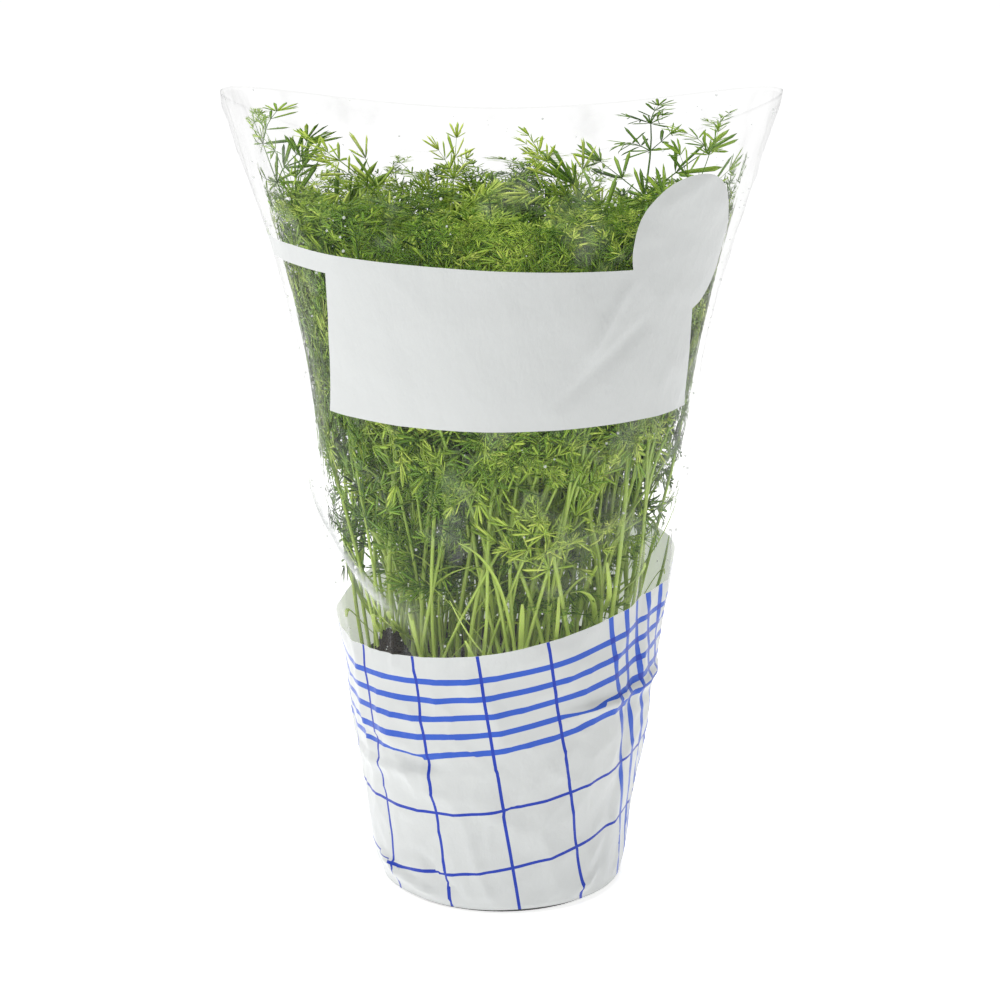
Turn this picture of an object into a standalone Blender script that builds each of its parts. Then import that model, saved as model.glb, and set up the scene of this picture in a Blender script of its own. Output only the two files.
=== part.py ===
"""Young dill growing in a nursery pot, held together by a tapered film sleeve.

Metres, +Z up. The origin is the middle of the pot's foot, on the surface it stands on.
The front of the sleeve faces -Y and its two side welds are at -X and +X.
"""

import math
import random

import bmesh
import bpy
from mathutils import Vector, noise

TOUCH = 0.0003  # gap left between two pieces that touch

# Nursery pot: a thin tapered shell with a rim band, on a foot ring under a raised floor.
POT_HEIGHT = 0.086
POT_FOOT_RADIUS = 0.0455
POT_RIM_RADIUS = 0.0580
POT_WALL = 0.0012
POT_RIM_DEPTH = 0.009
POT_RIM_STEP = 0.0016
POT_FOOT_WIDTH = 0.006
POT_FLOOR_RISE = 0.0025
POT_SIDES = 36
DRAIN_HOLES = 6
DRAIN_RADIUS = 0.004
DRAIN_CIRCLE = 0.027

# Peat block: fills the pot to a little below its rim.
PEAT_TOP = 0.080
PEAT_RIM_DROP = 0.003
PEAT_LUMP = 0.0016

# Film sleeve: a cone of film, round at the pot and flattened to an oval at its mouth.
FILM = 0.0004
SLEEVE_FOOT = 0.0015
SLEEVE_FRONT_TOP = 0.295
SLEEVE_CORNER_RISE = 0.015
SLEEVE_FOOT_RADIUS = 0.0475
SLEEVE_TAPER = 0.147
MOUTH_SPREAD = 0.0102
MOUTH_SPREAD_FROM = 0.235
BELLY_SPREAD = -0.0020
BELLY_HEIGHT = 0.205
BELLY_REACH = 0.045
SLEEVE_SIDES = 40
SLEEVE_RINGS = 9

# Dill plants: rings of (how many, share of the way out to the film, turn of the ring in degrees).
# The middle is left open, down to the peat.
PLANT_RINGS = (
    (12, 0.86, 4),
    (8, 0.62, 19),
    (4, 0.38, 45),
)
STEM_RADIUS = 0.0011
STEM_TOP = 0.178
STEM_TOP_SPREAD = 0.010
STEM_POINTS = 7
STEM_WAVE = 0.0026
FROND_TIP = 0.280
FROND_TIP_SPREAD = 0.008
FROND_HALF_WIDTH = 0.0145
FROND_LEAN = 0.005
FROND_THICKNESS = 0.0008
FROND_PINNAE = 6
RACHIS_HALF_WIDTH = 0.0009
PINNA_START = 0.16
PINNA_RISE = 0.75
PINNA_ROOT = 0.0028
PINNA_TIP = 0.0010
SIDE_FRONDS = 9
SIDE_FROND_FOOT = 0.116
SIDE_FROND_LENGTH = 0.050
SIDE_FROND_HALF_WIDTH = 0.008
SIDE_FROND_LEAN = 0.003
SIDE_FROND_TILT = math.radians(14)
SEED = 11


def clear_scene():
    for obj in list(bpy.data.objects):
        bpy.data.objects.remove(obj)


def collection(name):
    made = bpy.data.collections.new(name)
    bpy.context.scene.collection.children.link(made)
    return made


def material(name, colour, roughness, alpha=1.0):
    made = bpy.data.materials.new(name)
    made.use_nodes = True
    shader = made.node_tree.nodes["Principled BSDF"]
    shader.inputs["Base Color"].default_value = (*colour, 1)
    shader.inputs["Roughness"].default_value = roughness
    shader.inputs["Metallic"].default_value = 0.0
    shader.inputs["Alpha"].default_value = alpha
    return made


def add_object(name, data, finish, group):
    obj = bpy.data.objects.new(name, data)
    obj.data.materials.clear()
    obj.data.materials.append(finish)
    group.objects.link(obj)
    return obj


def turned(name, profile, sides, finish, group):
    """A profile of (radius, height) points turned about Z. It runs inside to outside, down the outer wall."""
    mesh = bpy.data.meshes.new(name)
    mesh.from_pydata([(r, 0, z) for r, z in profile], [(i, i + 1) for i in range(len(profile) - 1)], [])
    obj = add_object(name, mesh, finish, group)
    screw = obj.modifiers.new("turn", "SCREW")
    screw.steps = sides
    screw.render_steps = sides
    screw.use_merge_vertices = True
    screw.merge_threshold = 0.00005
    screw.use_smooth_shade = False
    return obj


def made_solid(obj):
    """The object's evaluated shape as a plain mesh, with its doubles merged."""
    graph = bpy.context.evaluated_depsgraph_get()
    mesh = bpy.data.meshes.new_from_object(obj.evaluated_get(graph))
    shape = bmesh.new()
    shape.from_mesh(mesh)
    bmesh.ops.remove_doubles(shape, verts=shape.verts, dist=0.00002)
    bmesh.ops.recalc_face_normals(shape, faces=shape.faces)
    shape.to_mesh(mesh)
    shape.free()
    return mesh


# The sleeve's shape, which the plants follow too.


def smooth_step(t):
    t = min(max(t, 0.0), 1.0)
    return t * t * (3 - 2 * t)


def sleeve_half_sizes(z):
    """Half width and half depth of the sleeve's inner face at height z."""
    radius = SLEEVE_FOOT_RADIUS + SLEEVE_TAPER * z
    corner = SLEEVE_FRONT_TOP + SLEEVE_CORNER_RISE
    mouth = max(0.0, (z - MOUTH_SPREAD_FROM) / (corner - MOUTH_SPREAD_FROM)) ** 1.4
    belly = 1 - smooth_step(abs(z - BELLY_HEIGHT) / BELLY_REACH)
    spread = MOUTH_SPREAD * mouth + BELLY_SPREAD * belly
    return radius + spread, radius - spread


def sleeve_top(angle):
    """The cut edge is straight on the flat film, so it stands higher at the side welds."""
    return SLEEVE_FRONT_TOP + SLEEVE_CORNER_RISE * math.sin(angle) ** 2


def inside_point(share, angle, z):
    """The point at this share of the way from the axis to the film. Angle 0 is the front."""
    half_width, half_depth = sleeve_half_sizes(z)
    return Vector((share * half_width * math.sin(angle), -share * half_depth * math.cos(angle), z))


# Pieces, from the pot outwards and then the plants.


def pot_wall_radius(z):
    """The pot's outer wall, below its rim band."""
    rim = POT_RIM_RADIUS - POT_RIM_STEP
    return POT_FOOT_RADIUS + (rim - POT_FOOT_RADIUS) * z / POT_HEIGHT


def build_pot(finish, group, helpers):
    floor_top = POT_FLOOR_RISE + POT_WALL
    band = POT_HEIGHT - POT_RIM_DEPTH
    profile = [
        (0, floor_top),
        (pot_wall_radius(floor_top) - POT_WALL, floor_top),
        (pot_wall_radius(band) - POT_WALL, band),
        (POT_RIM_RADIUS - POT_WALL, band + POT_RIM_STEP),
        (POT_RIM_RADIUS - POT_WALL, POT_HEIGHT),
        (POT_RIM_RADIUS, POT_HEIGHT),
        (POT_RIM_RADIUS, band),
        (pot_wall_radius(band), band),
        (pot_wall_radius(0), 0),
        (pot_wall_radius(0) - POT_FOOT_WIDTH, 0),
        (pot_wall_radius(0) - POT_FOOT_WIDTH, POT_FLOOR_RISE),
        (0, POT_FLOOR_RISE),
    ]
    pot = turned("pot", profile, POT_SIDES, finish, group)
    pot.data = made_solid(pot)
    pot.modifiers.clear()
    for i in range(DRAIN_HOLES):
        angle = math.tau * (i + 0.5) / DRAIN_HOLES
        mesh = bpy.data.meshes.new(f"drain_cutter_{i + 1}")
        shape = bmesh.new()
        bmesh.ops.create_cone(
            shape,
            cap_ends=True,
            segments=10,
            radius1=DRAIN_RADIUS,
            radius2=DRAIN_RADIUS,
            depth=0.010,
        )
        shape.to_mesh(mesh)
        shape.free()
        cutter = add_object(mesh.name, mesh, finish, helpers)
        cutter.location = (DRAIN_CIRCLE * math.cos(angle), DRAIN_CIRCLE * math.sin(angle), floor_top)
        cutter.hide_render = True
        cutter.display_type = "WIRE"
        cut = pot.modifiers.new(f"drain_{i + 1}", "BOOLEAN")
        cut.operation = "DIFFERENCE"
        cut.object = cutter
    return pot


def peat_height(x, y):
    """The peat's lumpy top, a little lower at the pot's wall."""
    share = math.hypot(x, y) / POT_RIM_RADIUS
    lump = noise.noise(Vector((x * 60, y * 60, 0.7)))
    return PEAT_TOP - PEAT_RIM_DROP * smooth_step((share - 0.6) / 0.4) + PEAT_LUMP * lump


def build_peat(finish, group):
    foot = POT_FLOOR_RISE + POT_WALL + TOUCH
    band = POT_HEIGHT - POT_RIM_DEPTH
    side_top = PEAT_TOP - PEAT_RIM_DROP - PEAT_LUMP - 0.001
    gap = POT_WALL + TOUCH

    def inner(z):
        return pot_wall_radius(min(z, band)) - gap

    top_radii = [inner(side_top) * share for share in (0, 0.25, 0.5, 0.75, 0.93)]
    profile = [(r, PEAT_TOP) for r in top_radii]
    profile += [(inner(side_top), side_top), (inner(foot), foot), (0, foot)]
    peat = turned("peat", profile, POT_SIDES // 2, finish, group)
    peat.data = made_solid(peat)
    peat.modifiers.clear()
    for vert in peat.data.vertices:
        if vert.co.z > side_top + 0.0001:
            vert.co.z = peat_height(vert.co.x, vert.co.y)
    return peat


def build_sleeve(finish, group):
    """A loft from the round foot to the oval mouth, thickened outwards."""
    shape = bmesh.new()
    rings = []
    for i in range(SLEEVE_RINGS + 1):
        ring = []
        for j in range(SLEEVE_SIDES):
            angle = math.tau * j / SLEEVE_SIDES
            z = SLEEVE_FOOT + (sleeve_top(angle) - SLEEVE_FOOT) * i / SLEEVE_RINGS
            ring.append(shape.verts.new(inside_point(1, angle, z)))
        rings.append(ring)
    for low, high in zip(rings, rings[1:]):
        for j in range(SLEEVE_SIDES):
            k = (j + 1) % SLEEVE_SIDES
            shape.faces.new((low[j], low[k], high[k], high[j]))
    bmesh.ops.recalc_face_normals(shape, faces=shape.faces)
    mesh = bpy.data.meshes.new("sleeve")
    shape.to_mesh(mesh)
    shape.free()
    sleeve = add_object("sleeve", mesh, finish, group)
    wall = sleeve.modifiers.new("film", "SOLIDIFY")
    wall.thickness = FILM
    wall.offset = 1.0
    wall.use_even_offset = True
    return sleeve


class Plant:
    """One dill plant: a stem that follows the sleeve's flare, and the frame its fronds lie in."""

    def __init__(self, share, angle, chance):
        self.share = share
        self.angle = angle
        self.phase = chance.uniform(0, math.tau)
        self.wave = STEM_WAVE * chance.uniform(0.4, 1.0)
        self.top = STEM_TOP + STEM_TOP_SPREAD * chance.uniform(-1, 1)
        self.frond_tip = FROND_TIP + FROND_TIP_SPREAD * chance.uniform(-1, 1)
        self.outward = Vector((math.sin(angle), -math.cos(angle), 0))
        self.sideways = Vector((math.cos(angle), math.sin(angle), 0))

    def centre(self, z):
        """The stem's line. It waves a little to either side on its way up."""
        rise = (z - PEAT_TOP) / (self.top - PEAT_TOP)
        sway = self.wave * math.sin(self.phase + 4.2 * rise) * smooth_step(rise * 3)
        return inside_point(self.share, self.angle, z) + self.sideways * sway

    def stem_foot(self):
        foot = self.centre(PEAT_TOP)
        return peat_height(foot.x, foot.y) + PEAT_LUMP


def build_stem(name, plant, finish, group):
    curve = bpy.data.curves.new(name, "CURVE")
    curve.dimensions = "3D"
    curve.bevel_depth = STEM_RADIUS
    curve.bevel_resolution = 1
    curve.use_fill_caps = True
    spline = curve.splines.new("POLY")
    spline.points.add(STEM_POINTS - 1)
    foot = plant.stem_foot()
    for i, point in enumerate(spline.points):
        z = foot + (plant.top - foot) * i / (STEM_POINTS - 1)
        point.co = (*plant.centre(z), 1)
        point.radius = 1.15 - 0.35 * i / (STEM_POINTS - 1)
    return add_object(name, curve, finish, group)


def frond_outline(length, half_width, pinnae):
    """A feathery leaf drawn flat: a rachis along +Y with slender pinnae on both sides, longest low down."""
    bare = PINNA_START * length
    step = (length - bare) / (pinnae + 0.6)
    right = [(RACHIS_HALF_WIDTH, 0.0)]
    for i in range(pinnae):
        y = bare + step * i
        reach = half_width * (1 - 0.72 * (i / pinnae) ** 1.3)
        rise = reach * PINNA_RISE
        right += [
            (RACHIS_HALF_WIDTH, y),
            (reach, y + rise),
            (reach - PINNA_TIP, y + rise + PINNA_TIP),
            (RACHIS_HALF_WIDTH, y + PINNA_ROOT),
        ]
    right.append((RACHIS_HALF_WIDTH / 2, length))
    left = [(-x, y) for x, y in reversed(right)]
    return right + left


def build_frond(name, plant, foot, length, half_width, pinnae, lean, offset, tilt, finish, group):
    """A flat frond laid in the plant's own upright plane, then leaned outwards towards its tip."""
    curve = bpy.data.curves.new(name, "CURVE")
    curve.dimensions = "2D"
    curve.fill_mode = "BOTH"
    curve.extrude = FROND_THICKNESS / 2
    spline = curve.splines.new("POLY")
    outline = frond_outline(length, half_width, pinnae)
    spline.points.add(len(outline) - 1)
    for point, (x, y) in zip(spline.points, outline):
        point.co = (x, y, 0, 1)
    spline.use_cyclic_u = True
    flat = add_object(name + "_outline", curve, finish, group)
    bpy.context.view_layer.update()
    mesh = made_solid(flat)
    bpy.data.objects.remove(flat)
    for vert in mesh.vertices:
        across, along, depth = vert.co
        side = across * math.cos(tilt) + along * math.sin(tilt)
        up = along * math.cos(tilt) - across * math.sin(tilt)
        away = offset + depth + lean * (along / length) ** 2
        vert.co = plant.centre(foot + up) + plant.sideways * side + plant.outward * away
    shape = bmesh.new()
    shape.from_mesh(mesh)
    bmesh.ops.recalc_face_normals(shape, faces=shape.faces)
    shape.to_mesh(mesh)
    shape.free()
    mesh.name = name
    return add_object(name, mesh, finish, group)


def plants_of(chance):
    """Plants from the outer ring inwards, evenly spaced in each ring."""
    made = []
    for count, share, turn in PLANT_RINGS:
        for i in range(count):
            made.append(Plant(share, math.radians(turn) + math.tau * i / count, chance))
    return made


def build_plants(stem_finish, leaf_finish, group):
    chance = random.Random(SEED)
    plants = plants_of(chance)
    for number, plant in enumerate(plants, 1):
        build_stem(f"stem_{number:02d}", plant, stem_finish, group)
        build_frond(
            f"frond_{number:02d}",
            plant,
            foot=plant.top + TOUCH * 2,
            length=plant.frond_tip - plant.top - TOUCH * 2,
            half_width=FROND_HALF_WIDTH,
            pinnae=FROND_PINNAE,
            lean=FROND_LEAN,
            offset=0.0,
            tilt=0.0,
            finish=leaf_finish,
            group=group,
        )
    for number, plant in enumerate(plants[:SIDE_FRONDS], 1):
        build_frond(
            f"side_frond_{number:02d}",
            plant,
            foot=SIDE_FROND_FOOT,
            length=SIDE_FROND_LENGTH,
            half_width=SIDE_FROND_HALF_WIDTH,
            pinnae=FROND_PINNAE - 2,
            lean=SIDE_FROND_LEAN,
            offset=STEM_RADIUS * 1.15 + TOUCH * 2 + FROND_THICKNESS / 2,
            tilt=SIDE_FROND_TILT * (1 if number % 2 else -1),
            finish=leaf_finish,
            group=group,
        )


def main():
    clear_scene()
    group = collection("potted_dill")
    helpers = collection("cutters")
    black_plastic = material("black_plastic", (0.012, 0.013, 0.012), 0.55)
    peat = material("peat", (0.035, 0.024, 0.016), 0.95)
    film = material("film", (0.86, 0.88, 0.88), 0.12, alpha=0.35)
    stem_green = material("stem_green", (0.36, 0.50, 0.12), 0.5)
    leaf_green = material("leaf_green", (0.10, 0.25, 0.03), 0.55)
    build_pot(black_plastic, group, helpers)
    build_peat(peat, group)
    build_sleeve(film, group)
    build_plants(stem_green, leaf_green, group)


main()
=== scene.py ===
import math
import random

import bmesh
import bpy
import numpy as np
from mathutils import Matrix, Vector, noise


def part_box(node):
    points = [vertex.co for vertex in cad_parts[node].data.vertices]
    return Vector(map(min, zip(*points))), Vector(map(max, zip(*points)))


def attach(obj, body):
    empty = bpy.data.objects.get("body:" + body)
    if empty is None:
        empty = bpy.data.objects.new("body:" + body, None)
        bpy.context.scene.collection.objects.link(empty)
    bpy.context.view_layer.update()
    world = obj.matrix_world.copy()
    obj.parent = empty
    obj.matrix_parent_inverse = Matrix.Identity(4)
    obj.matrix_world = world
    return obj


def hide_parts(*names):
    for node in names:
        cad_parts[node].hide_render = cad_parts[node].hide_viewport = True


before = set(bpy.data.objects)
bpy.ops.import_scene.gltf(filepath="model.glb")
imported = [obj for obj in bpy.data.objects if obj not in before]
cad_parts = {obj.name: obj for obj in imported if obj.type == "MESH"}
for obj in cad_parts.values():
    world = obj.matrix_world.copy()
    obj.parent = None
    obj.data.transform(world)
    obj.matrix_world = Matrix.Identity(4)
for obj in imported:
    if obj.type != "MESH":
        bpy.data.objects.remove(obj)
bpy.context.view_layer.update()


# ---------------------------------------------------------------------------------------------
# Nursery pot. Thin black polypropylene, thermoformed: a tapered wall with a rolled rim band, a
# raised floor with drain holes, and a foot ring that it stands on.
# ---------------------------------------------------------------------------------------------


def node(tree, kind, inputs=None, **settings):
    """Adds a node, and sets or links its inputs by name or number."""
    made = tree.nodes.new(kind)
    for name, value in settings.items():
        setattr(made, name, value)
    for key, value in (inputs or {}).items():
        if isinstance(value, bpy.types.NodeSocket):
            tree.links.new(value, made.inputs[key])
        elif made.inputs[key].type == "VECTOR" and isinstance(value, float):
            made.inputs[key].default_value = (value, value, value)
        else:
            made.inputs[key].default_value = value
    return made


def calc(tree, operation, *values, clamp=False):
    """A Math node on sockets or numbers."""
    made = node(tree, "ShaderNodeMath", dict(enumerate(values)), operation=operation, use_clamp=clamp)
    return made.outputs[0]


def finish_of(name, **principled):
    """A material with one Principled shader, and the tree to add its detail to."""
    made = bpy.data.materials.new(name)
    made.use_nodes = True
    shader = made.node_tree.nodes["Principled BSDF"]
    for key, value in principled.items():
        shader.inputs[key.replace("_", " ")].default_value = value
    return made, made.node_tree, shader


def colour_ramp(tree, factor, *stops):
    """A ramp of (position, linear colour) stops."""
    made = node(tree, "ShaderNodeValToRGB", {"Fac": factor})
    ramp = made.color_ramp
    while len(ramp.elements) < len(stops):
        ramp.elements.new(0.5)
    for element, (position, colour) in zip(ramp.elements, stops):
        element.position = position
        element.color = (*colour, 1)
    return made.outputs["Color"]


def surface_noise(tree, scale, detail=3.0, roughness=0.5, stretch=None):
    """Noise on Object coordinates. The scale counts features in a metre."""
    place = node(tree, "ShaderNodeTexCoord").outputs["Object"]
    if stretch:
        place = node(tree, "ShaderNodeMapping", {"Vector": place, "Scale": stretch}).outputs[0]
    made = node(
        tree,
        "ShaderNodeTexNoise",
        {"Vector": place, "Scale": scale, "Detail": detail, "Roughness": roughness},
    )
    return made.outputs["Fac"]


def bumped(tree, shader, height, distance):
    """Roughens a shader's surface by a height in metres."""
    bump = node(tree, "ShaderNodeBump", {"Height": height, "Distance": distance, "Strength": 1.0})
    tree.links.new(bump.outputs[0], shader.inputs["Normal"])


def in_scene(name, data):
    """A new object in the scene, at the origin."""
    obj = bpy.data.objects.new(name, data)
    bpy.context.scene.collection.objects.link(obj)
    return obj


def point_values(mesh, name, values, kind="FLOAT", field="value"):
    """Stores a named value for each point of a mesh."""
    mesh.attributes.new(name, kind, "POINT")
    mesh.attributes[name].data.foreach_set(field, values)


def as_piece(name, mesh, *materials):
    """A finished piece: a plain mesh at the origin, riding on the object's one body."""
    piece = in_scene(name, mesh)
    for material in materials:
        mesh.materials.append(material)
    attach(piece, "root")
    return piece


def evaluated_mesh(obj, name):
    """The object's shape with its modifiers, as a plain mesh, and the object itself removed."""
    graph = bpy.context.evaluated_depsgraph_get()
    mesh = bpy.data.meshes.new_from_object(obj.evaluated_get(graph))
    mesh.name = name
    bpy.data.objects.remove(obj)
    return mesh


def mesh_of(name, shape):
    """The mesh of a finished bmesh shape."""
    mesh = bpy.data.meshes.new(name)
    shape.to_mesh(mesh)
    shape.free()
    return mesh


def turned_mesh(name, profile, steps):
    """A profile of (radius, height) points turned about Z."""
    outline = bpy.data.meshes.new(name)
    outline.from_pydata([(r, 0, z) for r, z in profile], [(i, i + 1) for i in range(len(profile) - 1)], [])
    obj = in_scene(name, outline)
    screw = obj.modifiers.new("turn", "SCREW")
    screw.steps = screw.render_steps = steps
    screw.use_merge_vertices = True
    screw.merge_threshold = 0.00002
    mesh = evaluated_mesh(obj, name)
    shape = bmesh.new()
    shape.from_mesh(mesh)
    bmesh.ops.remove_doubles(shape, verts=shape.verts, dist=0.00001)
    bmesh.ops.recalc_face_normals(shape, faces=shape.faces)
    shape.to_mesh(mesh)
    shape.free()
    return mesh


POT_RIM, _, POT_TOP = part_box("pot")[1]
POT_FOOT = 0.0455
POT_WALL = 0.0009
POT_BAND = 0.009
POT_LIP = 0.0007
POT_STEP = 0.0016
POT_ROUNDING = 0.0004
FLOOR_LOW = 0.0025
FLOOR_TOP = 0.0037
FLOOR_INSET = 0.0030
RING_WIDTH = 0.0062
DRAIN_HOLES = 6
DRAIN_RADIUS = 0.004
DRAIN_CIRCLE = 0.027

band_low = POT_TOP - POT_BAND
neck = POT_RIM - POT_STEP
pot_profile = [
    (0.0, FLOOR_TOP),
    (POT_FOOT - FLOOR_INSET, FLOOR_TOP),
    (POT_FOOT - POT_WALL + POT_ROUNDING, FLOOR_TOP + 0.0023),
    (neck - POT_WALL, band_low),
    (POT_RIM - POT_WALL - POT_ROUNDING, band_low + 0.0018),
    (POT_RIM - POT_WALL - POT_ROUNDING, POT_TOP - POT_LIP),
    (POT_RIM - POT_WALL, POT_TOP),
    (POT_RIM - POT_LIP, POT_TOP),
    (POT_RIM, POT_TOP - POT_LIP),
    (POT_RIM, band_low + POT_ROUNDING),
    (POT_RIM - POT_ROUNDING, band_low),
    (neck, band_low - POT_ROUNDING),
    (POT_FOOT + POT_ROUNDING, 0.0012),
    (POT_FOOT, POT_ROUNDING),
    (POT_FOOT - 0.0005, 0.0),
    (POT_FOOT - RING_WIDTH + 0.0007, 0.0),
    (POT_FOOT - RING_WIDTH, 0.0006),
    (POT_FOOT - RING_WIDTH, FLOOR_LOW),
    (0.0, FLOOR_LOW),
]

black_plastic, tree, shader = finish_of("black_plastic", Roughness=0.42, Specular_IOR_Level=0.45)
scuffs = surface_noise(tree, 180, 4, 0.6)
plastic_tone = colour_ramp(tree, scuffs, (0.35, (0.010, 0.011, 0.010)), (0.75, (0.026, 0.027, 0.025)))
tree.links.new(plastic_tone, shader.inputs["Base Color"])
tree.links.new(calc(tree, "MULTIPLY_ADD", scuffs, 0.35, 0.28), shader.inputs["Roughness"])
bumped(tree, shader, surface_noise(tree, 900, 2), 0.00012)

pot = as_piece("nursery_pot", turned_mesh("nursery_pot", pot_profile, 96), black_plastic)
holes = []
for i in range(DRAIN_HOLES):
    angle = math.tau * (i + 0.5) / DRAIN_HOLES
    place = (DRAIN_CIRCLE * math.cos(angle), DRAIN_CIRCLE * math.sin(angle), (FLOOR_LOW + FLOOR_TOP) / 2)
    bpy.ops.mesh.primitive_cylinder_add(vertices=24, radius=DRAIN_RADIUS, depth=0.008, location=place)
    hole = bpy.context.object
    holes.append(hole)
    cut = pot.modifiers.new(hole.name, "BOOLEAN")
    cut.operation = "DIFFERENCE"
    cut.object = hole
graph = bpy.context.evaluated_depsgraph_get()
pot_mesh = bpy.data.meshes.new_from_object(pot.evaluated_get(graph))
pot.modifiers.clear()
pot.data = pot_mesh
for hole in holes:
    bpy.data.objects.remove(hole)
pot_mesh.shade_smooth()
pot_mesh.set_sharp_from_angle(angle=math.radians(40))
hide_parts("pot")


# ---------------------------------------------------------------------------------------------
# Peat. A block of dark moist peat that fills the pot, rough on top, with one clod that stands up
# at its edge, and loose crumbs of peat and a little pale perlite lying on it.
# ---------------------------------------------------------------------------------------------

PEAT_TOP = 0.0795
PEAT_EDGE_DROP = 0.0022
PEAT_SIDES = 96
PEAT_RINGS = 34
CLOD_X = -0.042
CLOD_Y = -0.028
CLOD_RADIUS = 0.0095
CLOD_HEIGHT = 0.031


def peat_height(x, y):
    """The lumpy top of the peat at a point."""
    out = math.hypot(x, y) / POT_RIM
    coarse = noise.fractal(Vector((x * 55, y * 55, 1.3)), 1.0, 2.0, 2)
    fine = noise.fractal(Vector((x * 330, y * 330, 4.1)), 0.8, 2.1, 3)
    away = math.hypot(x - CLOD_X, y - CLOD_Y) / CLOD_RADIUS
    clod = CLOD_HEIGHT * math.exp(-(away**2)) * (1 + 0.3 * fine)
    return PEAT_TOP - PEAT_EDGE_DROP * max(0.0, out - 0.7) / 0.3 + 0.0022 * coarse + 0.0009 * fine + clod


peat_radius = POT_RIM - 0.0030
peat_profile = [(peat_radius * i / PEAT_RINGS, PEAT_TOP) for i in range(PEAT_RINGS)]
peat_profile += [(peat_radius, PEAT_TOP - 0.004), (POT_FOOT - 0.0018, 0.0045), (0.0, 0.0045)]
peat_mesh = turned_mesh("peat_block", peat_profile, PEAT_SIDES)
for vertex in peat_mesh.vertices:
    if vertex.co.z > PEAT_TOP - 0.001:
        vertex.co.z = peat_height(vertex.co.x, vertex.co.y)

peat_finish, tree, shader = finish_of("moist_peat", Roughness=0.9, Specular_IOR_Level=0.25)
grain = surface_noise(tree, 700, 5, 0.7)
peat_tones = ((0.30, (0.006, 0.005, 0.004)), (0.55, (0.030, 0.020, 0.013)), (0.80, (0.085, 0.062, 0.042)))
tree.links.new(colour_ramp(tree, grain, *peat_tones), shader.inputs["Base Color"])
bumped(tree, shader, grain, 0.0011)

perlite_finish, tree, shader = finish_of("perlite", Base_Color=(0.62, 0.60, 0.56, 1), Roughness=0.85)
bumped(tree, shader, surface_noise(tree, 1500, 3), 0.0003)

peat = as_piece("peat_block", peat_mesh, peat_finish)
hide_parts("peat")


def new_tree(name, *sockets):
    """A geometry tree with a Geometry input and output and these other (name, type, default) inputs."""
    made = bpy.data.node_groups.new(name, "GeometryNodeTree")
    made.interface.new_socket(name="Geometry", in_out="INPUT", socket_type="NodeSocketGeometry")
    made.interface.new_socket(name="Geometry", in_out="OUTPUT", socket_type="NodeSocketGeometry")
    for label, kind, default in sockets:
        socket = made.interface.new_socket(name=label, in_out="INPUT", socket_type="NodeSocket" + kind)
        if default is not None:
            socket.default_value = default
    return made, made.nodes.new("NodeGroupInput").outputs


def end_tree(tree, geometry, material):
    """Closes a tree: instances made real, smooth, and with their material."""
    real = node(tree, "GeometryNodeRealizeInstances", {"Geometry": geometry})
    smooth = node(tree, "GeometryNodeSetShadeSmooth", {"Geometry": real.outputs[0]})
    coated = node(tree, "GeometryNodeSetMaterial", {"Geometry": smooth.outputs[0], "Material": material})
    node(tree, "NodeGroupOutput", {"Geometry": coated.outputs[0]})


def grown(obj, tree, name, **values):
    """Runs a geometry tree on the object with these inputs, and returns the result as a plain mesh."""
    modifier = obj.modifiers.new(tree.name, "NODES")
    modifier.node_group = tree
    for item in tree.interface.items_tree:
        if item.in_out == "INPUT" and item.name.replace(" ", "_") in values:
            modifier[item.identifier] = values[item.name.replace(" ", "_")]
    return evaluated_mesh(obj, name)


def shelf(name):
    """A collection that holds the shapes a tree picks from. It isn't in the scene."""
    return bpy.data.collections.new(name)


def random_value(tree, low, high, seed, kind="FLOAT"):
    """A Random Value node's output. The seed may be a socket."""
    made = node(tree, "FunctionNodeRandomValue", data_type=kind)
    slot = {"FLOAT_VECTOR": 0, "FLOAT": 1, "INT": 2}[kind]
    limits = [s for s in made.inputs if s.name in ("Min", "Max")]
    limits[slot * 2].default_value = low
    limits[slot * 2 + 1].default_value = high
    if isinstance(seed, bpy.types.NodeSocket):
        tree.links.new(seed, made.inputs["Seed"])
    else:
        made.inputs["Seed"].default_value = seed
    return made.outputs[slot]


def instances(tree, points, shape, rotation, scale, **more):
    """Copies of the shape on the points. Further inputs go by their names, with _ for a space."""
    inputs = {"Points": points, "Instance": shape, "Rotation": rotation, "Scale": scale}
    inputs.update({name.replace("_", " "): value for name, value in more.items()})
    return node(tree, "GeometryNodeInstanceOnPoints", inputs).outputs[0]


def picked_from(tree, collection):
    """The shapes of a collection, each apart, for instances to pick from."""
    inputs = {"Collection": collection, "Separate Children": True, "Reset Children": True}
    return node(tree, "GeometryNodeCollectionInfo", inputs).outputs[0]


def crumb_mesh(name, seed):
    """One lumpy crumb, a millimetre or so across before it is scaled."""
    shape = bmesh.new()
    bmesh.ops.create_icosphere(shape, subdivisions=1, radius=0.5)
    for vertex in shape.verts:
        vertex.co *= 1 + 0.45 * noise.noise(vertex.co * 2.3 + Vector((seed, 0, 0)))
        vertex.co.z *= 0.75
    return mesh_of(name, shape)


crumbs = shelf("crumbs")
for i in range(4):
    crumbs.objects.link(bpy.data.objects.new(f"crumb_{i}", crumb_mesh(f"crumb_{i}", 3.7 * i)))

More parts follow.
